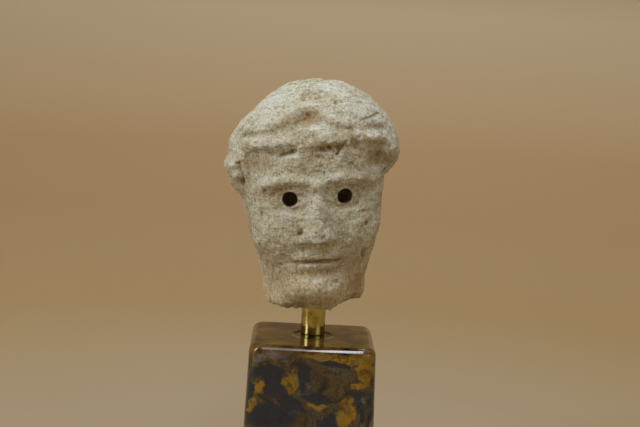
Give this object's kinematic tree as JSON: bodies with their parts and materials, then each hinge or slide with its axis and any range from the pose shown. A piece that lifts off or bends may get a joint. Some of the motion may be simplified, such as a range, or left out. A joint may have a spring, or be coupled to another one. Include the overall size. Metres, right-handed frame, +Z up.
{
  "type": "mounted limestone head",
  "caption": "Weathered carved limestone head with rolled hair and a broken neck, held by an upright brass rod in a polished stone block.",
  "frame": {"origin": "middle of the block's underside", "axes": "+Z up along the rod, the face looks along -Y, +X to the viewer's right"},
  "size_m": [0.0608, 0.0618, 0.1533],
  "materials": {
    "limestone": "weathered, grainy, matt, with ochre stains and white scuffs",
    "brass": "polished",
    "polished_stone": "polished, veined brown with dark patches"
  },
  "bodies": {
    "root": {"limestone_head": "limestone", "brass_rod": "brass", "stone_block": "polished_stone"}
  },
  "joints": []
}
